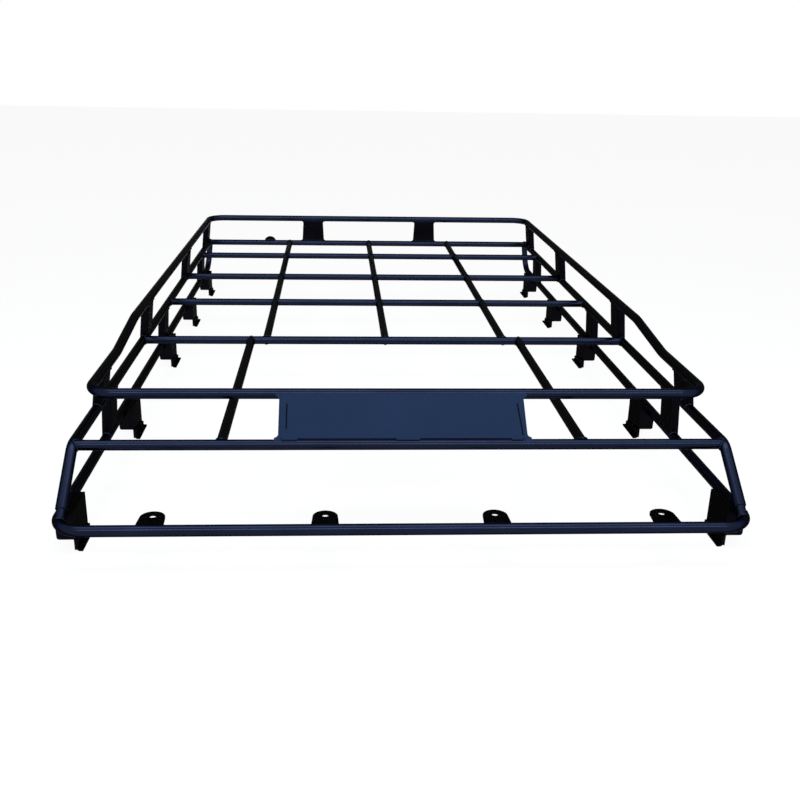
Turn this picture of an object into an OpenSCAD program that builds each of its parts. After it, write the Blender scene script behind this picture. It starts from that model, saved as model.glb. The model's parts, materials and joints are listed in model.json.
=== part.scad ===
// Roof rack of bent and welded steel tube for an off-road vehicle.
// A flat deck of bars, a raised rail round it, a lower rail that reaches forward
// of the deck, and ten folded feet whose lips stand in the roof's rain gutters.
// The front of the rack faces -Y, its left side is -X, and it stands on z = 0.

/* [Tubes] */
// Diameter of the rail tubes: deck sides, raised rail and lower rail
rail_d = 23; // [18:0.5:32]
// Diameter of the bars across and along the deck
bar_d = 22.4; // [14:0.2:28]
// How much thinner the crossbars are than the long bars that they meet
crossbar_step = 0.8; // [0.4:0.2:3]

/* [Deck] */
// Width of the deck between the centre lines of its side rails
deck_w = 1350; // [1000:10:1600]
// Length of the front bay, from the deck's front end to the first crossbar
front_bay = 760; // [600:10:1000]
// Length of the second bay
second_bay = 435; // [300:5:600]
// Length of the third bay
third_bay = 375; // [300:5:600]
// Length of the fourth bay
fourth_bay = 380; // [300:5:600]
// Length of the rear bay, up to the rear deck bar
rear_bay = 280; // [200:5:500]
// Spacing of the three long bars behind the first crossbar
long_pitch = 334; // [200:2:400]
// Spacing of the two long bars in the front bay
front_long_pitch = 751; // [500:1:900]
// Bend radius where a side rail turns down into its front leg
leg_bend_r = 50; // [40:5:80]
// How far the front deck bar lies behind the deck's front end
front_bar_back = 3.5; // [0:0.5:14]

/* [Raised rail] */
// How far inside the deck's side rails the raised rail runs
upper_inset = 11; // [0:1:20]
// Height of its rear part above the deck
rear_rise = 103; // [80:1:160]
// Height of its front part above the deck
front_rise = 77; // [60:1:100]
// How far behind the deck's front end the raised rail's front run lies
front_setback = 96; // [40:2:140]
// Where the rail starts to climb, behind the deck's front end
climb_start = 397; // [320:1:450]
// Where the climb ends
climb_end = 619; // [560:1:720]
// Bend radius at both ends of the climb
climb_bend_r = 200; // [100:10:300]
// Bend radius of the four corners of the raised rail
upper_corner_r = 60; // [40:5:90]

/* [Lower rail] */
// How far outside the deck's side rails the lower rail runs
lower_outset = 7; // [0:1:20]
// Depth of the lower rail under the deck
lower_drop = 106; // [90:1:140]
// How far the lower rail's front run lies ahead of the deck's front end
front_reach = 172; // [140:1:240]
// Bend radius of the front corners and of the rear risers
lower_corner_r = 60; // [50:5:80]
// How far inside the deck rail's centre line a rear riser ends
riser_inset = 4; // [1:0.5:8]

/* [Leg joints] */
// Diameter of the spigot that carries each front leg
spigot_d = 18; // [12:0.5:20]
// Length of spigot between the lower rail's centre line and the leg
spigot_len = 31; // [24:1:45]

/* [Uprights] */
// Width of an upright, a little less than a rail
upright_w = 20; // [12:0.5:21]
// Length of an upright along the rack
upright_len = 80; // [50:2:110]
// Sheet thickness of the uprights
upright_t = 3; // [2:0.5:4]
// Outer radius of the folds of an upright
upright_fold_r = 5; // [4.5:0.5:7]
// Front edge of the first pair above the deck
upper_upright_1 = 210; // [170:5:260]
// Front edge of the second pair above the deck
upper_upright_2 = 764; // [740:5:800]
// Front edge of the third pair above the deck
upper_upright_3 = 1508; // [1300:5:1600]
// Front edge of the fourth pair above the deck
upper_upright_4 = 2080; // [1900:5:2085]
// Front edge of the first pair under the deck
lower_upright_1 = 300; // [200:5:380]
// Front edge of the second pair under the deck
lower_upright_2 = 1055; // [900:5:1180]
// Front edge of the third pair under the deck
lower_upright_3 = 1935; // [1700:5:2000]

/* [Feet] */
// Length of a foot along the rack
foot_len = 95; // [60:1:120]
// Sheet thickness of the feet
foot_t = 4; // [3:0.5:5]
// From the lower rail's centre line in to the inner face of a foot
foot_inset = 27; // [22:1:40]
// Height of a foot's top plate above the lower rail's centre line
foot_top = 8; // [4:1:9]
// Depth of a foot's end plates under the lower rail's centre line
foot_skirt = 52; // [30:1:70]
// Depth of the gutter lip under the lower rail's centre line
foot_drop = 78; // [74:1:100]
// How far the end plates' outer edge leans in at its foot
foot_taper = 1; // [0:0.5:8]
// Radius of the end plates' outer corner
foot_corner_r = 5; // [2:0.5:8]
// How far the inner plate stops above the lip's underside
plate_end_gap = 3; // [2:1:12]
// Height of the lip plate's front edge
lip_front_h = 26; // [20:1:40]
// Height of the lip plate's rear edge
lip_rear_h = 14; // [13:1:40]
// Width of the gutter lip over its fold
lip_w = 12; // [9:0.5:16]
// Outer radius of the lip's fold
lip_fold_r = 6; // [5.5:0.5:8]
// Front edge of the first pair of feet, behind the deck's front end
foot_1 = -108; // [-110:1:-80]
// Front edge of the second pair
foot_2 = 480; // [400:5:560]
// Front edge of the third pair
foot_3 = 1075; // [900:5:1180]
// Front edge of the fourth pair
foot_4 = 1555; // [1400:5:1700]
// Front edge of the fifth pair
foot_5 = 2020; // [1850:5:2050]

/* [Plates] */
// Width of the name plate
name_plate_w = 518; // [300:2:700]
// Thickness of the name plate and of the two rear plates
plate_t = 3; // [2:0.5:5]
// How far the name plate's face lies under the top of the front deck bar
plate_sink = 1; // [0.5:0.5:3]
// Radius of the flare at each corner of a plate
plate_flare_r = 8; // [4:1:12]
// Distance between the centres of the two rear plates
rear_plate_pitch = 470; // [300:2:700]
// Width of a rear plate at its top
rear_plate_top_w = 81; // [50:1:110]
// Width of a rear plate at its foot
rear_plate_foot_w = 92; // [50:1:120]

/* [Tabs] */
// Distance between neighbouring front tabs
tab_pitch = 338; // [200:2:360]
// Width of a tab across its round end
tab_w = 50; // [34:1:70]
// Width of a front tab at the lower rail
tab_root_w = 56; // [34:1:80]
// How far the row of front tabs lies to the right of the rack's centre
tab_shift = 8; // [0:1:20]
// Thickness of the tabs
tab_t = 4; // [3:0.5:6]
// Diameter of the lamp hole in a front tab
tab_hole_d = 14.5; // [6:0.5:18]
// From the lower rail's centre line back to the lamp hole
tab_reach = 55; // [38:1:64]
// How far behind the centre of the tab's round end the hole lies
tab_hole_back = 5; // [0:1:8]
// Place of the single rear tab, left of the rack's centre
rear_tab_x = 417; // [360:1:500]
// Height of the rear tab's round top above the rear deck bar's centre line
rear_tab_rise = 27; // [20:1:40]

/* [Hidden] */
$fn = 64;

gloss_black = [0.05, 0.06, 0.09];
rail_r = rail_d / 2;
bar_r = bar_d / 2;
deck_x = deck_w / 2;
upper_x = deck_x - upper_inset;
lower_x = deck_x + lower_outset;

// Places along the rack, measured back from the deck's front end, which is where
// the lines of its side rails and front legs cross
crossbar_1_y = front_bay;
crossbar_2_y = crossbar_1_y + second_bay;
crossbar_3_y = crossbar_2_y + third_bay;
crossbar_4_y = crossbar_3_y + fourth_bay;
deck_len = crossbar_4_y + rear_bay;

// The part's origin is on the floor, half way along the rack
mid_y = (deck_len - front_reach) / 2;
deck_z = lower_drop + foot_drop;

// A front leg meets the lower rail's corner where their centre lines cross
corner_x = lower_x - lower_corner_r;
corner_y = lower_corner_r - front_reach;
leg_foot_y = corner_y - sqrt(pow(lower_corner_r, 2) - pow(deck_x - corner_x, 2));
leg_slope = atan(lower_drop / -leg_foot_y);
leg_len = -leg_foot_y / cos(leg_slope);
leg_tangent = leg_bend_r * tan(leg_slope / 2);
// The front deck bar meets the side rails inside that bend, a little lower
front_bar_z = sqrt(pow(leg_bend_r, 2) - pow(leg_tangent - front_bar_back, 2)) - leg_bend_r;

climb_angle = atan((rear_rise - front_rise) / (climb_end - climb_start));
climb_len = (rear_rise - front_rise) / sin(climb_angle);
climb_tangent = climb_bend_r * tan(climb_angle / 2);

// The rear risers lean in from the lower rail to the inner half of the deck rail
riser_lean = atan((lower_outset + riser_inset) / lower_drop);
riser_len = lower_drop / cos(riser_lean) - lower_corner_r;

name_plate_slope = atan((front_rise - front_bar_z) / (front_setback - front_bar_back));
name_plate_span = (front_rise - front_bar_z) / sin(name_plate_slope);

// How far a cutting shape runs past what it cuts
cut = 1;

module placed() {
    translate([0, -mid_y, deck_z]) color(gloss_black) children();
}

module on_side(side) {
    mirror([side < 0 ? 1 : 0, 0, 0]) children();
}

// A tube of diameter d that starts at the origin and runs along +Y.
// Each step is [straight length, bend angle, bend radius]; positive bends turn up.
module bent_tube(d, steps, i = 0) {
    if (i < len(steps)) {
        straight = steps[i][0];
        angle = steps[i][1];
        r = steps[i][2];
        rotate([-90, 0, 0]) cylinder(d = d, h = straight);
        translate([0, straight, 0]) {
            if (angle != 0) {
                mirror([0, 0, angle < 0 ? 1 : 0])
                    translate([0, 0, r]) rotate([0, 90, 0])
                    rotate_extrude(angle = abs(angle)) translate([r, 0]) circle(d = d);
            }
            rise = r * (1 - cos(angle)) * (angle < 0 ? -1 : 1);
            translate([0, r * sin(abs(angle)), rise])
                rotate([angle, 0, 0]) bent_tube(d, steps, i + 1);
        }
    }
}

// A straight bar between two points on a line along X
module cross_tube(d, x1, x2) {
    translate([x1, 0, 0]) rotate([0, 90, 0]) cylinder(d = d, h = x2 - x1);
}

// A straight bar between two points on a line along Y
module long_tube(d, y1, y2) {
    translate([0, y1, 0]) rotate([-90, 0, 0]) cylinder(d = d, h = y2 - y1);
}

// A level bow: a run across the rack with a quarter bend at each end.
// It starts at its left end and opens to the rear.
module bow(half_w, corner_r) {
    steps = [[0, 90, corner_r], [2 * (half_w - corner_r), 90, corner_r]];
    translate([-half_w, corner_r, 0]) rotate([0, 0, 180]) rotate([0, -90, 0])
        bent_tube(rail_d, steps);
}

module upper_front_bow() {
    placed() translate([0, front_setback, front_rise]) bow(upper_x, upper_corner_r);
}

module upper_rear_bow() {
    placed() translate([0, deck_len, rear_rise]) mirror([0, 1, 0]) bow(upper_x, upper_corner_r);
}

// The raised rail's two side runs ahead of the climb, with the first bend of it
module upper_front_runs() {
    start_y = front_setback + upper_corner_r;
    steps = [[climb_start - climb_tangent - start_y, climb_angle, climb_bend_r]];
    placed() for (side = [-1, 1]) {
        translate([side * upper_x, start_y, front_rise]) bent_tube(rail_d, steps);
    }
}

module upper_climbs() {
    placed() for (side = [-1, 1]) {
        translate([side * upper_x, climb_start, front_rise]) rotate([climb_angle, 0, 0])
            long_tube(rail_d, climb_tangent, climb_len - climb_tangent);
    }
}

// A side run of the raised rail behind the climb, drawn forward from the rear bow
module upper_rail(side) {
    end_y = deck_len - upper_corner_r;
    steps = [[end_y - climb_end - climb_tangent, -climb_angle, climb_bend_r]];
    placed() translate([side * upper_x, end_y, rear_rise]) rotate([0, 0, 180])
        bent_tube(rail_d, steps);
}

module deck_rail(side) {
    placed() translate([side * deck_x, 0, 0]) long_tube(rail_d, leg_tangent, deck_len + rail_r);
}

// The bent front ends of the deck rails, from the level rails down to the spigots
module front_legs() {
    steps = [[leg_len - leg_tangent - spigot_len, -leg_slope, leg_bend_r]];
    placed() for (side = [-1, 1]) {
        translate([side * deck_x, leg_foot_y, -lower_drop]) rotate([leg_slope, 0, 0])
            translate([0, spigot_len, 0]) bent_tube(rail_d, steps);
    }
}

// The space that the two side rails of the deck fill, for coping what meets them
module deck_rail_space() {
    for (side = [-1, 1]) {
        translate([side * deck_x, 0, 0]) long_tube(rail_d, leg_tangent, deck_len + rail_r);
    }
}

module leg_bend_space() {
    for (side = [-1, 1]) {
        translate([side * deck_x, leg_tangent, -leg_bend_r]) rotate([0, 90, 0])
            rotate_extrude() translate([leg_bend_r, 0]) circle(d = rail_d);
    }
}

module front_deck_bar() {
    placed() difference() {
        translate([0, front_bar_back, front_bar_z]) cross_tube(bar_d, -deck_x, deck_x);
        leg_bend_space();
    }
}

module rear_deck_bar() {
    placed() difference() {
        translate([0, deck_len, 0]) cross_tube(bar_d, -deck_x, deck_x);
        deck_rail_space();
    }
}

module crossbar_1() {
    placed() difference() {
        translate([0, crossbar_1_y, 0]) cross_tube(bar_d, -deck_x, deck_x);
        deck_rail_space();
    }
}

// Behind the first crossbar the long bars run through, and each crossbar
// is four short lengths coped between them and the side rails
module split_crossbar(y) {
    placed() difference() {
        translate([0, y, 0]) cross_tube(bar_d - crossbar_step, -deck_x, deck_x);
        deck_rail_space();
        for (i = [-1, 0, 1]) {
            translate([i * long_pitch, 0, 0]) long_tube(bar_d, y - bar_d, y + bar_d);
        }
    }
}

module long_bar(x) {
    placed() difference() {
        translate([x, 0, 0]) long_tube(bar_d - crossbar_step / 2, crossbar_1_y, deck_len);
        translate([0, crossbar_1_y, 0]) cross_tube(bar_d, x - bar_d, x + bar_d);
        translate([0, deck_len, 0]) cross_tube(bar_d, x - bar_d, x + bar_d);
    }
}

module front_long_bar(side) {
    x = side * front_long_pitch / 2;
    placed() difference() {
        translate([x, 0, 0])
            long_tube(bar_d - crossbar_step / 2, front_bar_back, crossbar_1_y);
        translate([0, front_bar_back, front_bar_z]) cross_tube(bar_d, x - bar_d, x + bar_d);
        translate([0, crossbar_1_y, 0]) cross_tube(bar_d, x - bar_d, x + bar_d);
    }
}

module lower_front_bow() {
    placed() translate([0, -front_reach, -lower_drop]) bow(lower_x, lower_corner_r);
}

module lower_rail(side) {
    steps = [
        [deck_len - lower_corner_r - corner_y, 90, lower_corner_r],
        [riser_len, 0, 0]
    ];
    placed() difference() {
        translate([side * lower_x, corner_y, -lower_drop]) rotate([0, -side * riser_lean, 0])
            bent_tube(rail_d, steps);
        deck_rail_space();
        translate([0, deck_len, 0]) cross_tube(bar_d, -deck_x, deck_x);
    }
}

module leg_spigots() {
    placed() for (side = [-1, 1]) {
        difference() {
            translate([side * deck_x, leg_foot_y, -lower_drop]) rotate([leg_slope, 0, 0])
                long_tube(spigot_d, 0, spigot_len);
            translate([side * corner_x, corner_y, -lower_drop])
                rotate_extrude() translate([lower_corner_r, 0]) circle(d = rail_d);
        }
    }
}

// Section of an upright: a channel that opens away from the rack's centre
module channel_section() {
    fold = upright_fold_r;
    inner = upright_fold_r - upright_t;
    difference() {
        union() {
            translate([-upright_w / 2 + fold, 0]) square([upright_w - fold, upright_len]);
            translate([-upright_w / 2, fold]) square([upright_w, upright_len - 2 * fold]);
            for (y = [fold, upright_len - fold]) {
                translate([-upright_w / 2 + fold, y]) circle(r = fold);
            }
        }
        translate([-upright_w / 2 + fold, upright_t])
            square([upright_w, upright_len - 2 * upright_t]);
        translate([-upright_w / 2 + upright_t, fold])
            square([upright_w, upright_len - 2 * fold]);
        for (y = [fold, upright_len - fold]) {
            translate([-upright_w / 2 + fold, y]) circle(r = inner);
        }
    }
}

// A pair of uprights between two rails, from height z1 and half width x1 up to
// height z2 and half width x2
module upright_pair(y, x1, z1, x2, z2) {
    lean = atan((x1 - x2) / (z2 - z1));
    span = (z2 - z1) / cos(lean);
    placed() for (side = [-1, 1]) {
        on_side(side) difference() {
            translate([x1, y, z1]) rotate([0, -lean, 0]) linear_extrude(span) channel_section();
            translate([x1, 0, z1]) long_tube(rail_d, y - cut, y + upright_len + cut);
            translate([x2, 0, z2]) long_tube(rail_d, y - cut, y + upright_len + cut);
        }
    }
}

module upper_uprights(y, rise) {
    upright_pair(y, deck_x, 0, upper_x, rise);
}

module lower_uprights(y) {
    upright_pair(y, lower_x, -lower_drop, deck_x, 0);
}

// Cross section of a foot's lip plate, which laps the inner plate and folds into the
// gutter lip, from the rail's centre line. Its x runs outwards, its y runs up.
module lip_section() {
    bend_x = -foot_inset - lip_fold_r;
    bend_y = lip_fold_r - foot_drop;
    lip_end = -foot_inset - lip_w;
    translate([-foot_inset - foot_t, bend_y]) square([foot_t, lip_front_h - lip_fold_r]);
    translate([lip_end, -foot_drop]) square([bend_x - lip_end, foot_t]);
    intersection() {
        difference() {
            translate([bend_x, bend_y]) circle(r = lip_fold_r);
            translate([bend_x, bend_y]) circle(r = lip_fold_r - foot_t);
        }
        translate([bend_x, -foot_drop]) square(lip_fold_r);
    }
}

// What is cut off the lip plate above its slanting top edge, seen along the rack
module lip_offcut() {
    front_z = lip_front_h - foot_drop;
    rear_z = lip_rear_h - foot_drop;
    rotate([0, -90, 0]) linear_extrude(lip_w)
        polygon([[front_z, -cut], [front_z + cut, -cut], [front_z + cut, foot_len + cut],
            [rear_z, foot_len + cut], [rear_z, foot_len], [front_z, 0]]);
}

module lip_plate() {
    difference() {
        translate([0, foot_len, 0]) rotate([90, 0, 0]) linear_extrude(foot_len) lip_section();
        translate([-foot_inset, 0, 0]) lip_offcut();
    }
}

// Outline of a foot's end plates, seen along the rack
module foot_end_section() {
    low_x = rail_r - foot_taper;
    polygon([
        [-foot_inset, foot_top], [0, foot_top], [0, 0], [rail_r, 0],
        [low_x, foot_corner_r - foot_skirt], [low_x - foot_corner_r, -foot_skirt],
        [-foot_inset, -foot_skirt]
    ]);
    translate([low_x - foot_corner_r, foot_corner_r - foot_skirt]) circle(r = foot_corner_r);
}

module foot(side, y) {
    placed() on_side(side) translate([lower_x, y, -lower_drop]) {
        lip_plate();
        difference() {
            translate([0, foot_len, 0]) rotate([90, 0, 0]) {
                linear_extrude(foot_len) translate([-foot_inset, plate_end_gap - foot_drop])
                    square([foot_t, foot_drop - plate_end_gap + foot_top]);
                linear_extrude(foot_t) foot_end_section();
                translate([0, 0, foot_len - foot_t]) linear_extrude(foot_t) foot_end_section();
                linear_extrude(foot_len)
                    translate([-foot_inset, foot_top - foot_t]) square([foot_inset, foot_t]);
            }
            long_tube(rail_d, -cut, foot_len + cut);
        }
    }
}

// Outline of a plate between two bars: w1 wide at its foot and w2 at its top, with a
// small flare at each corner, clear of the bars' surfaces
module plate_outline(w1, w2, h) {
    r = plate_flare_r;
    reach = rail_r + r;
    foot_w = w1 + (w2 - w1) * reach / h;
    top_w = w2 + (w1 - w2) * reach / h;
    difference() {
        union() {
            polygon([[-w1 / 2, 0], [w1 / 2, 0], [w2 / 2, h], [-w2 / 2, h]]);
            translate([-foot_w / 2 - r, 0]) square([foot_w + 2 * r, reach]);
            translate([-top_w / 2 - r, h - reach]) square([top_w + 2 * r, reach]);
        }
        for (side = [-1, 1]) {
            translate([side * (foot_w / 2 + r), reach]) circle(r = r);
            translate([side * (top_w / 2 + r), h - reach]) circle(r = r);
        }
    }
}

module name_plate() {
    placed() difference() {
        translate([0, front_bar_back, front_bar_z]) rotate([name_plate_slope, 0, 0])
            translate([0, 0, bar_r - plate_sink - plate_t]) linear_extrude(plate_t)
            plate_outline(name_plate_w, name_plate_w, name_plate_span);
        translate([0, front_bar_back, front_bar_z])
            cross_tube(bar_d, -name_plate_w, name_plate_w);
        translate([0, front_setback, front_rise]) cross_tube(rail_d, -name_plate_w, name_plate_w);
    }
}

module rear_plates() {
    placed() for (side = [-1, 1]) {
        x = side * rear_plate_pitch / 2;
        difference() {
            translate([x, deck_len + plate_t / 2, 0]) rotate([90, 0, 0]) linear_extrude(plate_t)
                plate_outline(rear_plate_foot_w, rear_plate_top_w, rear_rise);
            translate([0, deck_len, 0]) cross_tube(bar_d, x - deck_x, x + deck_x);
            translate([0, deck_len, rear_rise]) cross_tube(rail_d, x - deck_x, x + deck_x);
        }
    }
}

module front_tabs() {
    round_y = tab_reach - tab_hole_back;
    placed() for (i = [-1.5, -0.5, 0.5, 1.5]) {
        translate([tab_shift + i * tab_pitch, -front_reach, -lower_drop]) difference() {
            linear_extrude(tab_t) {
                translate([0, round_y]) circle(d = tab_w);
                polygon([
                    [-tab_root_w / 2, 0], [tab_root_w / 2, 0],
                    [tab_w / 2, round_y], [-tab_w / 2, round_y]
                ]);
            }
            translate([0, tab_reach, -cut]) cylinder(d = tab_hole_d, h = tab_t + 2 * cut);
            cross_tube(rail_d, -tab_root_w, tab_root_w);
        }
    }
}

module rear_tab() {
    placed() translate([-rear_tab_x, deck_len, 0]) difference() {
        translate([0, tab_t / 2, 0]) rotate([90, 0, 0]) linear_extrude(tab_t) intersection() {
            translate([0, rear_tab_rise - tab_w / 2]) circle(d = tab_w);
            translate([-tab_w, 0]) square([2 * tab_w, tab_w]);
        }
        cross_tube(bar_d, -tab_w, tab_w);
    }
}

upper_front_bow();
upper_rear_bow();
upper_rail(-1);  // left_upper_rail
upper_rail(1);  // right_upper_rail
upper_front_runs();
upper_climbs();
deck_rail(-1);  // left_deck_rail
deck_rail(1);  // right_deck_rail
front_legs();
front_deck_bar();
rear_deck_bar();
crossbar_1();
split_crossbar(crossbar_2_y);  // crossbar_2
split_crossbar(crossbar_3_y);  // crossbar_3
split_crossbar(crossbar_4_y);  // crossbar_4
long_bar(-long_pitch);  // left_long_bar
long_bar(0);  // centre_long_bar
long_bar(long_pitch);  // right_long_bar
front_long_bar(-1);  // left_front_long_bar
front_long_bar(1);  // right_front_long_bar
lower_front_bow();
lower_rail(-1);  // left_lower_rail
lower_rail(1);  // right_lower_rail
leg_spigots();
name_plate();
rear_plates();
upper_uprights(upper_upright_1, front_rise);  // upper_uprights_1
upper_uprights(upper_upright_2, rear_rise);  // upper_uprights_2
upper_uprights(upper_upright_3, rear_rise);  // upper_uprights_3
upper_uprights(upper_upright_4, rear_rise);  // upper_uprights_4
lower_uprights(lower_upright_1);  // lower_uprights_1
lower_uprights(lower_upright_2);  // lower_uprights_2
lower_uprights(lower_upright_3);  // lower_uprights_3
foot(-1, foot_1);  // left_foot_1
foot(-1, foot_2);  // left_foot_2
foot(-1, foot_3);  // left_foot_3
foot(-1, foot_4);  // left_foot_4
foot(-1, foot_5);  // left_foot_5
foot(1, foot_1);  // right_foot_1
foot(1, foot_2);  // right_foot_2
foot(1, foot_3);  // right_foot_3
foot(1, foot_4);  // right_foot_4
foot(1, foot_5);  // right_foot_5
front_tabs();
rear_tab();
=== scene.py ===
import json
import math

import bmesh
import bpy
from mathutils import Matrix, Vector


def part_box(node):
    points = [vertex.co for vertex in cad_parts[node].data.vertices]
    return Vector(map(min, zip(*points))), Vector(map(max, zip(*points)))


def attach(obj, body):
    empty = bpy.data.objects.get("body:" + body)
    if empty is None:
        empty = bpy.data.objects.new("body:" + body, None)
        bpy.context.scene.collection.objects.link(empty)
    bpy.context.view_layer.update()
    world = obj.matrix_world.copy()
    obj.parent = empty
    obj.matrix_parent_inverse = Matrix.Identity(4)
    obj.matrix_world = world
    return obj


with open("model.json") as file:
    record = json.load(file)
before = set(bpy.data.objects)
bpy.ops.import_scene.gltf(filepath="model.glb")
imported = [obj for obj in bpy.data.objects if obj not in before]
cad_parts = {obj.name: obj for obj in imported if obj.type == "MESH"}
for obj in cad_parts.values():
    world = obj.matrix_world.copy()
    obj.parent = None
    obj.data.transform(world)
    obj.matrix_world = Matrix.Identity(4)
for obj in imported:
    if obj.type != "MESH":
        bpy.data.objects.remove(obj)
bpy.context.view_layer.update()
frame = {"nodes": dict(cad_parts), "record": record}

# Camera: the photograph's eye, in metres in the rack's frame
EYE = (-0.1411, -2.8384, 0.9382)
TURN_RIGHT = 2.945
TILT_DOWN = 19.923
ROLL = 1.018
LENS = 42.75
SENSOR = 36.0
SHIFT_X = 0.0234

# Light and ground: each lamp has a name, a place, an aim, a size and its watts
LAMPS = (
    ("overhead box", (0, -0.8, 3.2), (0, -0.2, 0.2), (4.0, 1.3), 56),
    ("front strip", (0, -3.3, 2.4), (0, -0.9, 0.15), (4.4, 0.5), 52),
)
LAMP_COLOUR = (0.88, 0.94, 1)
SKY_COLOUR = (0.86, 0.9, 1, 1)
SKY_STRENGTH = 0.15
WHITE = (1, 1, 1, 1)
FLOOR_COLOUR = (0.12, 0.12, 0.12, 1)
FLOOR_ROUGH = 0.9
FLOOR_GLOW = 0.93
FLOOR_SIZE = 30.0

# Paint: what all three coats share
GLOSS_TINT = (0.02, 0.03, 0.04, 1)
PEEL_GRAIN = 420
PEEL_STRENGTH = 0.12
PEEL_DEPTH = 0.0006
COAT_ROUGH = 0.12


# --- helpers -------------------------------------------------------------

def new_material(name):
    material = bpy.data.materials.new(name)
    material.use_nodes = True
    tree = material.node_tree
    tree.nodes.clear()
    output = tree.nodes.new("ShaderNodeOutputMaterial")
    shader = tree.nodes.new("ShaderNodeBsdfPrincipled")
    tree.links.new(shader.outputs["BSDF"], output.inputs["Surface"])
    return material, tree, shader


def gloss_paint(name, dark, light, rough, gloss, flake, coat, wave):
    """Gloss paint over steel: a slow drift between a dark and a light tone, a finer
    drift in its roughness, a faint orange peel and a thin clear coat. The flake share
    is reflected in the paint's own colour and goes dark at a grazing angle."""
    material, tree, shader = new_material(name)
    nodes, links = tree.nodes, tree.links
    where = nodes.new("ShaderNodeTexCoord")

    drift = nodes.new("ShaderNodeTexNoise")
    drift.inputs["Scale"].default_value = wave
    drift.inputs["Detail"].default_value = 3
    links.new(where.outputs["Object"], drift.inputs["Vector"])
    tone = nodes.new("ShaderNodeMix")
    tone.data_type = "RGBA"
    tone.inputs["A"].default_value = (*dark, 1)
    tone.inputs["B"].default_value = (*light, 1)
    links.new(drift.outputs["Fac"], tone.inputs["Factor"])
    links.new(tone.outputs["Result"], shader.inputs["Base Color"])

    haze = nodes.new("ShaderNodeTexNoise")
    haze.inputs["Scale"].default_value = wave * 6
    haze.inputs["Detail"].default_value = 5
    links.new(where.outputs["Object"], haze.inputs["Vector"])
    spread = nodes.new("ShaderNodeMapRange")
    spread.inputs["To Min"].default_value = rough * 0.75
    spread.inputs["To Max"].default_value = rough * 1.35
    links.new(haze.outputs["Fac"], spread.inputs["Value"])
    links.new(spread.outputs["Result"], shader.inputs["Roughness"])

    peel = nodes.new("ShaderNodeTexNoise")
    peel.inputs["Scale"].default_value = PEEL_GRAIN
    peel.inputs["Detail"].default_value = 2
    links.new(where.outputs["Object"], peel.inputs["Vector"])
    bump = nodes.new("ShaderNodeBump")
    bump.inputs["Strength"].default_value = PEEL_STRENGTH
    bump.inputs["Distance"].default_value = PEEL_DEPTH
    links.new(peel.outputs["Fac"], bump.inputs["Height"])
    links.new(bump.outputs["Normal"], shader.inputs["Normal"])

    shader.inputs["Specular IOR Level"].default_value = gloss
    shader.inputs["Metallic"].default_value = flake
    shader.inputs["Specular Tint"].default_value = GLOSS_TINT
    shader.inputs["Coat Weight"].default_value = coat
    shader.inputs["Coat Roughness"].default_value = COAT_ROUGH
    return material


# --- materials -----------------------------------------------------------

PAINTS = {
    "tube_paint": gloss_paint(
        "tube gloss black", dark=(0.007, 0.010, 0.022), light=(0.013, 0.018, 0.040),
        rough=0.21, gloss=0.08, flake=1.0, coat=0.025, wave=9),
    "sheet_paint": gloss_paint(
        "sheet gloss black", dark=(0.002, 0.002, 0.003), light=(0.005, 0.005, 0.008),
        rough=0.4, gloss=0.012, flake=1.0, coat=0.012, wave=14),
    "plate_paint": gloss_paint(
        "name plate gloss blue-black", dark=(0.021, 0.040, 0.095), light=(0.025, 0.046, 0.108),
        rough=0.42, gloss=0.02, flake=0.0, coat=0.0, wave=7),
}
SLOTS = {part["node"]: part["material_slot"] for part in frame["record"]["subparts"]}

for name, node in frame["nodes"].items():
    for place in node.material_slots:
        place.material = PAINTS[SLOTS[name]]


# --- places on the rack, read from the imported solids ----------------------

def middle(node):
    low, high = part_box(node)
    return (low + high) / 2


def half_height(node):
    low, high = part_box(node)
    return (high.z - low.z) / 2


def half_width(node):
    low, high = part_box(node)
    return (high.x - low.x) / 2


ACROSS_BARS = ("front_deck_bar", "crossbar_1", "crossbar_2", "crossbar_3", "crossbar_4",
               "rear_deck_bar")
LONG_BARS = ("left_long_bar", "centre_long_bar", "right_long_bar")
FRONT_LONG_BARS = ("left_front_long_bar", "right_front_long_bar")
SIDES = (-1, 1)
X, Y, Z = Vector((1, 0, 0)), Vector((0, 1, 0)), Vector((0, 0, 1))

RAIL_R = half_width("right_deck_rail")
DECK_X = middle("right_deck_rail").x
DECK_Z = middle("right_deck_rail").z
RAISED_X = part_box("upper_front_bow")[1].x - RAIL_R
RAISED_FRONT_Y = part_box("upper_front_bow")[0].y + RAIL_R
RAISED_FRONT_Z = middle("upper_front_bow").z
RAISED_REAR_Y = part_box("upper_rear_bow")[1].y - RAIL_R
RAISED_REAR_Z = middle("upper_rear_bow").z
LOWER_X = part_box("lower_front_bow")[1].x - RAIL_R
LOWER_FRONT_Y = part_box("lower_front_bow")[0].y + RAIL_R
LOWER_Z = middle("lower_front_bow").z
LOWER_CORNER_R = 0.060
BAR_R = half_height("rear_deck_bar")
PLATE_SINK = 0.001
PLATE_FOOT = Vector((0, middle("front_deck_bar").y, middle("front_deck_bar").z))
PLATE_UP = (Vector((0, RAISED_FRONT_Y, RAISED_FRONT_Z)) - PLATE_FOOT).normalized()
PLATE_OUT = Vector((0, -PLATE_UP.z, PLATE_UP.y))
PLATE_FACE = BAR_R - PLATE_SINK


# --- weld beads ----------------------------------------------------------

BEAD_R = 0.0030
SHEET_BEAD_R = 0.0022
RIPPLE_PITCH = 0.0036
RIPPLE_STEPS = 4
RIPPLE_DEPTH = 0.13
BEAD_SIDES = 6
END_TAPER = 0.004
SAME_POINT = 1e-6
STEEP = 0.8


def ripple(distance):
    """Each pass of the torch leaves one overlapping scale on the bead."""
    return 1 + RIPPLE_DEPTH * (2 * abs(math.sin(math.pi * distance / RIPPLE_PITCH)) - 1)


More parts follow.
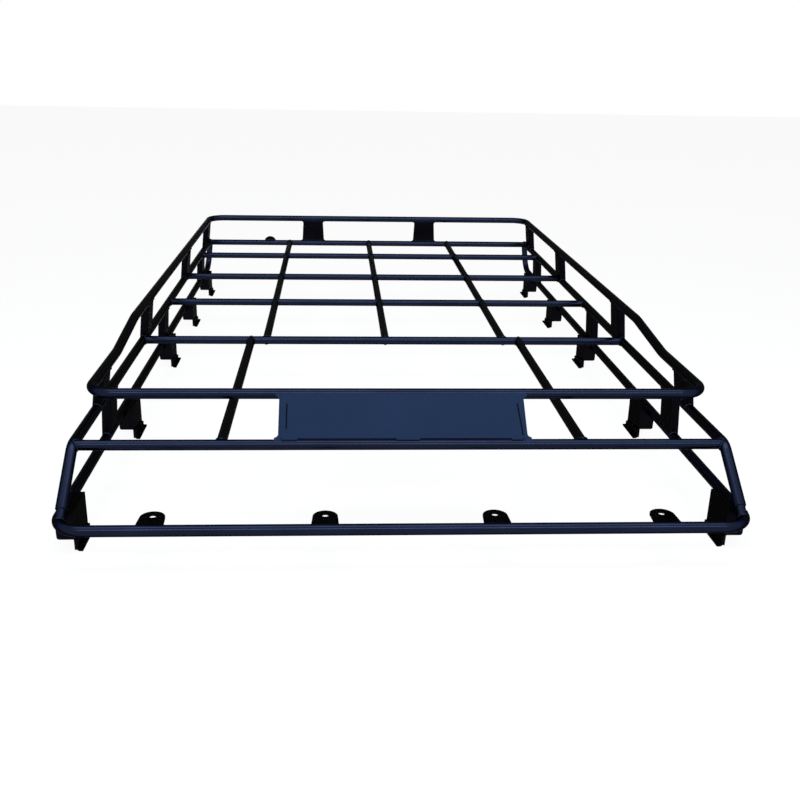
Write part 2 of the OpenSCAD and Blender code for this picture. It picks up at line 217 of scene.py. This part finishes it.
def take_in(welds, part):
    """Moves one finished bead into the mesh that gathers its kind."""
    bmesh.ops.remove_doubles(part, verts=part.verts[:], dist=SAME_POINT)
    bmesh.ops.recalc_face_normals(part, faces=part.faces[:])
    carrier = bpy.data.meshes.new("bead")
    part.to_mesh(carrier)
    part.free()
    welds.from_mesh(carrier)
    bpy.data.meshes.remove(carrier)


def ring_bead(welds, at, along, rail_axis, bar_r, rail_r, bead_r=BEAD_R, miss=Vector()):
    """Bead round a bar that leaves a rail at the point where their centre lines
    cross, or miss each other by a little: a spun ring, pushed along the bar onto the
    rail's surface. Without a rail_r it stays a flat collar."""
    along = along.normalized()
    rail_axis = rail_axis.normalized()
    first = (rail_axis - along * rail_axis.dot(along)).normalized()
    second = along.cross(first)
    turned = Matrix((first, along, first.cross(along))).transposed().to_4x4()
    rounds = round(2 * math.pi * bar_r / RIPPLE_PITCH)
    bead = bmesh.new()
    bmesh.ops.create_circle(bead, segments=BEAD_SIDES, radius=bead_r,
                            matrix=Matrix.Translation(at + first * bar_r) @ turned)
    bmesh.ops.spin(bead, geom=bead.verts[:] + bead.edges[:], cent=at, axis=along,
                   dvec=(0, 0, 0), angle=2 * math.pi, steps=rounds * RIPPLE_STEPS, use_merge=True)
    across = along - rail_axis * along.dot(rail_axis)
    for v in bead.verts:
        offset = v.co - at
        angle = math.atan2(offset.dot(second), offset.dot(first))
        out = first * math.cos(angle) + second * math.sin(angle)
        surface = out * bar_r
        reach = 0
        if rail_r:
            flat = surface + miss
            flat -= rail_axis * flat.dot(rail_axis)
            b = flat.dot(across) / across.length_squared
            c = (flat.length_squared - rail_r ** 2) / across.length_squared
            reach = -b + math.sqrt(max(0, b * b - c))
        swell = ripple(angle / (2 * math.pi) * rounds * RIPPLE_PITCH)
        v.co = at + surface + along * reach + (offset - surface) * swell
    take_in(welds, bead)


def run_bead(welds, path, bead_r=SHEET_BEAD_R):
    """Bead along a path of points, tapered to nothing at both ends: a grid that is
    rolled into a tube round the path."""
    points = [Vector(p) for p in path]
    lengths = [0.0]
    for a, b in zip(points, points[1:]):
        lengths.append(lengths[-1] + (b - a).length)
    total = lengths[-1]
    steps = max(4, round(total / RIPPLE_PITCH * RIPPLE_STEPS))
    bead = bmesh.new()
    bmesh.ops.create_grid(bead, x_segments=steps, y_segments=BEAD_SIDES, size=0.5)

    def at(distance):
        i = 0
        while i < len(points) - 2 and lengths[i + 1] < distance:
            i += 1
        part = (distance - lengths[i]) / (lengths[i + 1] - lengths[i])
        return points[i].lerp(points[i + 1], part)

    for v in bead.verts:
        distance = (v.co.x + 0.5) * total
        turn = (v.co.y + 0.5) * 2 * math.pi
        centre = at(distance)
        tangent = (at(min(total, distance + bead_r)) - at(max(0, distance - bead_r))).normalized()
        side = tangent.cross(Z if abs(tangent.z) < STEEP else Y).normalized()
        up = side.cross(tangent)
        from_end = min(distance, total - distance) / END_TAPER
        taper = math.sqrt(max(0, 1 - (1 - min(1, from_end)) ** 2))
        r = bead_r * taper * ripple(distance)
        v.co = centre + (side * math.cos(turn) + up * math.sin(turn)) * r
    take_in(welds, bead)


def finish_piece(name, shape, slot, smooth=True):
    mesh = bpy.data.meshes.new(name)
    shape.to_mesh(mesh)
    shape.free()
    for face in mesh.polygons:
        face.use_smooth = smooth
    mesh.materials.append(PAINTS[slot])
    piece = bpy.data.objects.new(name, mesh)
    bpy.context.scene.collection.objects.link(piece)
    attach(piece, "root")


FRONT_BAR_LIE = Vector((0, 0.97, 0.24))


def deck_welds():
    """Beads round every bar's end on the deck and at the crossings."""
    welds = bmesh.new()
    for bar in ACROSS_BARS:
        place = middle(bar)
        bar_r = half_height(bar)
        lie = FRONT_BAR_LIE if bar == "front_deck_bar" else Y
        for side in SIDES:
            rail = Vector((side * DECK_X, place.y, place.z))
            ring_bead(welds, rail, -side * X, lie, bar_r, RAIL_R)
    for long_bar in LONG_BARS:
        x = middle(long_bar).x
        long_r = half_width(long_bar)
        for bar in ("crossbar_2", "crossbar_3", "crossbar_4"):
            place = middle(bar)
            crossing = Vector((x, place.y, place.z))
            for side in SIDES:
                ring_bead(welds, crossing, side * X, Y, half_height(bar), long_r)
        for bar, way in (("crossbar_1", Y), ("rear_deck_bar", -Y)):
            place = middle(bar)
            ring_bead(welds, Vector((x, place.y, place.z)), way, X, long_r, half_height(bar))
    for long_bar in FRONT_LONG_BARS:
        x = middle(long_bar).x
        long_r = half_width(long_bar)
        for bar, way in (("front_deck_bar", Y), ("crossbar_1", -Y)):
            place = middle(bar)
            ring_bead(welds, Vector((x, place.y, DECK_Z)), way, X, long_r, half_height(bar))
    finish_piece("deck_welds", welds, "tube_paint")


UPRIGHT_HALF = 0.010
UPRIGHT_ACROSS = (0.97, 0.5, 0, -0.5, -0.85, -1.02)
CLEAR_OF_FACE = 0.0004


def on_round(base, way, out, o, y):
    """Point on a rail's surface, o to the outer side of its centre line."""
    return base + out * o + way * math.sqrt(RAIL_R ** 2 - o ** 2) + Y * y


def upright_welds():
    """Beads round the open channels that stand between the rails: across both ends
    and along the inner web, at the foot and at the head."""
    welds = bmesh.new()
    deck, lower = (DECK_X, DECK_Z), (LOWER_X, LOWER_Z)
    pairs = [("upper_uprights_1", deck, (RAISED_X, RAISED_FRONT_Z))]
    pairs += [(f"upper_uprights_{n}", deck, (RAISED_X, RAISED_REAR_Z)) for n in (2, 3, 4)]
    pairs += [(f"lower_uprights_{n}", lower, deck) for n in (1, 2, 3)]
    for node, foot, head in pairs:
        low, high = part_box(node)
        for side in SIDES:
            start = Vector((side * foot[0], 0, foot[1]))
            end = Vector((side * head[0], 0, head[1]))
            up = (end - start).normalized()
            out = Vector((up.z, 0, -up.x)) * side
            reach = [UPRIGHT_HALF * part for part in UPRIGHT_ACROSS]
            for base, way in ((start, up), (end, -up)):
                path = [on_round(base, way, out, o, low.y - CLEAR_OF_FACE) for o in reach]
                path += [on_round(base, way, out, o, high.y + CLEAR_OF_FACE)
                         for o in reversed(reach)]
                run_bead(welds, path)
    finish_piece("upright_welds", welds, "tube_paint")


FEET_A_SIDE = 5
FOOT_SEAT_X = 0.0086
FOOT_SEAT_Z = 0.0082
FOOT_END = 0.003
FOOT_FACE = 0.0003
FOOT_ARC_START = -3
FOOT_ARC_TURN = -219
FOOT_ARC_STEPS = 24
LIP_X = 0.0285
LIP_FRONT_Z = -0.0515
LIP_REAR_Z = -0.0635
LIP_END = 0.002
LIP_BEAD_R = 0.0018


def foot_welds():
    """Beads that hold each folded foot to the lower rail and its gutter lip to the foot."""
    welds = bmesh.new()
    for word, side in (("left", -1), ("right", 1)):
        for n in range(1, FEET_A_SIDE + 1):
            low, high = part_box(f"{word}_foot_{n}")
            rail = Vector((side * LOWER_X, 0, LOWER_Z))
            inner = -side * X
            seat = rail + inner * FOOT_SEAT_X + Z * FOOT_SEAT_Z
            run_bead(welds, [seat + Y * (low.y + FOOT_END), seat + Y * (high.y - FOOT_END)])
            for y in (low.y - FOOT_FACE, high.y + FOOT_FACE):
                path = []
                for step in range(FOOT_ARC_STEPS + 1):
                    turn = FOOT_ARC_START + FOOT_ARC_TURN * step / FOOT_ARC_STEPS
                    angle = math.radians(turn)
                    out = side * X * math.cos(angle) + Z * math.sin(angle)
                    path.append(rail + out * (RAIL_R + CLEAR_OF_FACE) + Y * y)
                run_bead(welds, path)
            lip = rail + inner * LIP_X
            lip_front = lip + Y * (low.y + LIP_END) + Z * LIP_FRONT_Z
            lip_rear = lip + Y * (high.y - LIP_END) + Z * LIP_REAR_Z
            run_bead(welds, [lip_front, lip_rear], LIP_BEAD_R)
    finish_piece("foot_welds", welds, "sheet_paint")


TAB_PITCH = 0.338
TAB_SHIFT = 0.008
TAB_PLACES = (-1.5, -0.5, 0.5, 1.5)
TAB_HALF = 0.027
TAB_ROOTS = ((0.0109, 0.0043), (0.0116, -0.0004))
REAR_TAB_HALF = 0.022
REAR_TAB_FACE = 0.0022
BAR_TOP = BAR_R + 0.0002


def tab_welds():
    """Beads along the roots of the lamp tabs and of the rear tab."""
    welds = bmesh.new()
    for i in TAB_PLACES:
        x = TAB_SHIFT + i * TAB_PITCH
        for y, z in TAB_ROOTS:
            root = Vector((x, LOWER_FRONT_Y + y, LOWER_Z + z))
            run_bead(welds, [root - X * TAB_HALF, root + X * TAB_HALF], BEAD_R)
    place, bar = middle("rear_tab"), middle("rear_deck_bar")
    for way in SIDES:
        root = Vector((place.x, bar.y + way * REAR_TAB_FACE, bar.z + BAR_TOP))
        run_bead(welds, [root - X * REAR_TAB_HALF, root + X * REAR_TAB_HALF])
    finish_piece("tab_welds", welds, "tube_paint")


SPIGOT_R = 0.009
SPIGOT_LEN = 0.031
SPIGOT_BEAD_R = 0.0026
LEG_BEAD_R = 0.0018
FRONT_BAR_BACK = 0.0035
RISER_INSET = 0.004


def rail_end_welds():
    """Collars where the front legs sit on the lower bow through their spigots, and
    where the rear risers meet the deck rails from below."""
    welds = bmesh.new()
    corner = Vector((LOWER_X - LOWER_CORNER_R, LOWER_FRONT_Y + LOWER_CORNER_R))
    over = DECK_X - corner.x
    foot_y = corner.y - math.sqrt(LOWER_CORNER_R ** 2 - over ** 2)
    bend_y = PLATE_FOOT.y - FRONT_BAR_BACK
    slope = math.atan2(DECK_Z - LOWER_Z, bend_y - foot_y)
    leg = Vector((0, math.cos(slope), math.sin(slope)))
    riser_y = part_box("right_lower_rail")[1].y - RAIL_R
    for side in SIDES:
        foot = Vector((side * DECK_X, foot_y, LOWER_Z))
        tangent = Vector((side * (corner.y - foot_y), over, 0)).normalized()
        ring_bead(welds, foot, leg, tangent, SPIGOT_R, RAIL_R, SPIGOT_BEAD_R)
        ring_bead(welds, foot + leg * SPIGOT_LEN, leg, X, SPIGOT_R + CLEAR_OF_FACE, 0,
                  LEG_BEAD_R)
        top = Vector((side * (DECK_X - RISER_INSET), riser_y, DECK_Z))
        down = Vector((side * LOWER_X, riser_y, LOWER_Z)) - top
        ring_bead(welds, top, down, Y, RAIL_R, RAIL_R, miss=-side * X * RISER_INSET)
    finish_piece("rail_end_welds", welds, "tube_paint")


REAR_PLATE_X = 0.235
REAR_PLATE_FOOT = 0.046
REAR_PLATE_HEAD = 0.040
REAR_PLATE_FACE = 0.0018
RAIL_UNDERSIDE = RAIL_R + 0.0002


def rear_plate_welds():
    """Beads along the feet and heads of the two rear plates."""
    welds = bmesh.new()
    for side in SIDES:
        for z, half in ((DECK_Z + BAR_TOP, REAR_PLATE_FOOT),
                        (RAISED_REAR_Z - RAIL_UNDERSIDE, REAR_PLATE_HEAD)):
            for way in SIDES:
                y = RAISED_REAR_Y + way * REAR_PLATE_FACE
                root = Vector((side * REAR_PLATE_X, y, z))
                run_bead(welds, [root - X * half, root + X * half])
    finish_piece("rear_plate_welds", welds, "tube_paint")


# --- name plate ----------------------------------------------------------

PANEL_T = 0.0016
PANEL_EDGE_R = 0.0004
SHARP = 0.5
# Painted shade: thickness and widths of the near-black strips laid in the panel's slots and along
# its foot
SHADE_STRIP_T = 0.0005
SHADE_STRIP_W = 0.0030
LOWER_SHADE_STRIP_W = 0.0032
LOWER_SHADE_STRIP_RISE = 0.0067
PANEL_COLUMNS = (-0.2550, -0.2440, -0.2410, 0.0, 0.2425, 0.2455, 0.2550)
PANEL_ROWS = (0.0085, 0.0145, 0.0310, 0.0910, 0.1120)
SLANT_COLUMNS = (4, 5)
SLANT = 0.070
SLOT_CELLS = ((1, 2), (4, 1), (4, 2))
# Painted shade strips: their places in the middle of each slot and along the panel's foot,
# between the tacks
LEFT_SHADE_STRIP_X = (PANEL_COLUMNS[1] + PANEL_COLUMNS[2]) / 2
RIGHT_SHADE_STRIP_X = (PANEL_COLUMNS[4] + PANEL_COLUMNS[5]) / 2
LOWER_SHADE_STRIPS = ((-0.219, -0.016), (0.034, 0.224))
TACKS = ((-0.252, -0.219), (-0.016, 0.034), (0.224, 0.250))
TACK_RISE = 0.0062
TACK_LIFT = 0.0008
TACK_R = 0.0026


def on_plate(x, rise, lift):
    """Point over the plate's outer face, by its width, its slope and its height."""
    return PLATE_FOOT + X * x + PLATE_UP * rise + PLATE_OUT * (PLATE_FACE + lift)


def slanted(rise):
    """The right slot leans outwards towards its foot."""
    return (PANEL_ROWS[3] - rise) * SLANT


def name_panel():
    """Thin cover on the name plate with a slot near each end: a grid, put on the
    plate's own lines, opened at the slots and drawn up to its thickness."""
    panel = bmesh.new()
    columns, rows = len(PANEL_COLUMNS) - 1, len(PANEL_ROWS) - 1
    bmesh.ops.create_grid(panel, x_segments=columns, y_segments=rows, size=0.5)
    opened = []
    for face in panel.faces:
        centre = face.calc_center_median()
        column = math.floor((centre.x + 0.5) * columns)
        row = math.floor((centre.y + 0.5) * rows)
        if (column, row) in SLOT_CELLS:
            opened.append(face)
    bmesh.ops.delete(panel, geom=opened, context="FACES")
    for v in panel.verts:
        column = round((v.co.x + 0.5) * columns)
        rise = PANEL_ROWS[round((v.co.y + 0.5) * rows)]
        x = PANEL_COLUMNS[column] + (slanted(rise) if column in SLANT_COLUMNS else 0)
        v.co = on_plate(x, rise, 0)
    raised = bmesh.ops.extrude_face_region(panel, geom=panel.faces[:])
    lifted = [part for part in raised["geom"] if isinstance(part, bmesh.types.BMVert)]
    bmesh.ops.translate(panel, verts=lifted, vec=PLATE_OUT * PANEL_T)
    bmesh.ops.recalc_face_normals(panel, faces=panel.faces[:])
    rims = [e for e in panel.edges if len(e.link_faces) == 2 and e.calc_face_angle() > SHARP]
    bmesh.ops.bevel(panel, geom=rims, offset=PANEL_EDGE_R, affect="EDGES", segments=2,
                    profile=0.5, material=-1)
    finish_piece("name_panel", panel, "plate_paint", smooth=False)


def painted_shade_strip(shade_strips, foot, head, width):
    """Flat near-black strip of painted shade between two points of the plate."""
    made = bmesh.ops.create_cube(shade_strips, size=1)
    for v in made["verts"]:
        x = foot[0] + (head[0] - foot[0]) * (v.co.y + 0.5) + v.co.x * width[0]
        rise = foot[1] + (head[1] - foot[1]) * (v.co.y + 0.5) + v.co.x * width[1]
        v.co = on_plate(x, rise, (v.co.z + 0.5) * SHADE_STRIP_T)


def plate_painted_shade():
    """Painted shade: near-black strips in the panel's two slots and along its foot, between the
    tacks, where the gaps lie in shade.
    """
    shade_strips = bmesh.new()
    low, high = PANEL_ROWS[1], PANEL_ROWS[3]
    painted_shade_strip(shade_strips, (LEFT_SHADE_STRIP_X, PANEL_ROWS[2]), (LEFT_SHADE_STRIP_X, high), (SHADE_STRIP_W, 0))
    painted_shade_strip(shade_strips, (RIGHT_SHADE_STRIP_X + slanted(low), low), (RIGHT_SHADE_STRIP_X, high), (SHADE_STRIP_W, 0))
    for start, end in LOWER_SHADE_STRIPS:
        painted_shade_strip(shade_strips, (start, LOWER_SHADE_STRIP_RISE), (end, LOWER_SHADE_STRIP_RISE), (0, -LOWER_SHADE_STRIP_W))
    bmesh.ops.recalc_face_normals(shade_strips, faces=shade_strips.faces[:])
    # The strips take the near-black sheet paint as painted shade in the gaps
    finish_piece("plate_painted_shade", shade_strips, "sheet_paint", smooth=False)


def plate_tacks():
    """Three short beads that hold the panel's foot."""
    welds = bmesh.new()
    for start, end in TACKS:
        run_bead(welds, [on_plate(x, TACK_RISE, TACK_LIFT) for x in (start, end)], TACK_R)
    finish_piece("plate_tacks", welds, "plate_paint")


# --- stage ---------------------------------------------------------------

def seen_direct_or_in_gloss(nodes, links):
    """1 for camera, glossy and transmission rays, else 0."""
    ray = nodes.new("ShaderNodeLightPath")
    camera_or_gloss = nodes.new("ShaderNodeMath")
    camera_or_gloss.operation = "MAXIMUM"
    links.new(ray.outputs["Is Camera Ray"], camera_or_gloss.inputs[0])
    links.new(ray.outputs["Is Glossy Ray"], camera_or_gloss.inputs[1])
    any_ray = nodes.new("ShaderNodeMath")
    any_ray.operation = "MAXIMUM"
    links.new(camera_or_gloss.outputs["Value"], any_ray.inputs[0])
    links.new(ray.outputs["Is Transmission Ray"], any_ray.inputs[1])
    return any_ray.outputs["Value"]


def white_to_camera(tree, shader, strength):
    """The surface keeps its shadow, and shows as white to the camera and in gloss."""
    nodes, links = tree.nodes, tree.links
    glow = nodes.new("ShaderNodeEmission")
    glow.inputs["Color"].default_value = WHITE
    glow.inputs["Strength"].default_value = strength
    mix = nodes.new("ShaderNodeMixShader")
    add = nodes.new("ShaderNodeAddShader")
    links.new(shader.outputs["BSDF"], add.inputs[0])
    links.new(glow.outputs["Emission"], add.inputs[1])
    links.new(seen_direct_or_in_gloss(nodes, links), mix.inputs["Fac"])
    links.new(shader.outputs["BSDF"], mix.inputs[1])
    links.new(add.outputs["Shader"], mix.inputs[2])
    output = next(n for n in nodes if n.type == "OUTPUT_MATERIAL")
    links.new(mix.outputs["Shader"], output.inputs["Surface"])


def make_floor():
    bm = bmesh.new()
    bmesh.ops.create_grid(bm, x_segments=1, y_segments=1, size=FLOOR_SIZE / 2)
    mesh = bpy.data.meshes.new("floor")
    bm.to_mesh(mesh)
    bm.free()
    floor = bpy.data.objects.new("floor", mesh)
    bpy.context.scene.collection.objects.link(floor)
    material, tree, shader = new_material("white floor")
    shader.inputs["Base Color"].default_value = FLOOR_COLOUR
    shader.inputs["Roughness"].default_value = FLOOR_ROUGH
    shader.inputs["Specular IOR Level"].default_value = 0.0
    white_to_camera(tree, shader, FLOOR_GLOW)
    mesh.materials.append(material)


def make_world():
    world = bpy.data.worlds.new("studio")
    bpy.context.scene.world = world
    world.use_nodes = True
    nodes, links = world.node_tree.nodes, world.node_tree.links
    nodes.clear()
    output = nodes.new("ShaderNodeOutputWorld")
    sky = nodes.new("ShaderNodeBackground")
    sky.inputs["Color"].default_value = SKY_COLOUR
    sky.inputs["Strength"].default_value = SKY_STRENGTH
    white = nodes.new("ShaderNodeBackground")
    white.inputs["Color"].default_value = WHITE
    white.inputs["Strength"].default_value = 1.0
    mix = nodes.new("ShaderNodeMixShader")
    links.new(seen_direct_or_in_gloss(nodes, links), mix.inputs["Fac"])
    links.new(sky.outputs["Background"], mix.inputs[1])
    links.new(white.outputs["Background"], mix.inputs[2])
    links.new(mix.outputs["Shader"], output.inputs["Surface"])


def soft_light(name, place, aim, size, power):
    data = bpy.data.lights.new(name, "AREA")
    data.shape = "RECTANGLE"
    data.size, data.size_y = size
    data.energy = power
    data.color = LAMP_COLOUR
    light = bpy.data.objects.new(name, data)
    bpy.context.scene.collection.objects.link(light)
    light.location = place
    light.rotation_mode = "QUATERNION"
    light.rotation_quaternion = (Vector(aim) - Vector(place)).to_track_quat("-Z", "Y")


# --- the pieces and the stage ---------------------------------------------

deck_welds()
upright_welds()
foot_welds()
tab_welds()
rail_end_welds()
rear_plate_welds()
name_panel()
# Near-black strips of painted shade in the name panel's slots and under its foot
plate_painted_shade()
plate_tacks()

make_floor()
make_world()
for lamp in LAMPS:
    soft_light(*lamp)

# --- camera --------------------------------------------------------------

lens = bpy.data.cameras.new("camera")
lens.lens = LENS
lens.sensor_width = SENSOR
lens.sensor_fit = "HORIZONTAL"
lens.shift_x = SHIFT_X
lens.dof.use_dof = False
camera = bpy.data.objects.new("camera", lens)
bpy.context.scene.collection.objects.link(camera)
camera.matrix_world = (
    Matrix.Translation(EYE)
    @ Matrix.Rotation(math.radians(-TURN_RIGHT), 4, "Z")
    @ Matrix.Rotation(math.radians(90 - TILT_DOWN), 4, "X")
    @ Matrix.Rotation(math.radians(ROLL), 4, "Z")
)
bpy.context.scene.camera = camera
bpy.context.scene.view_settings.view_transform = "Standard"
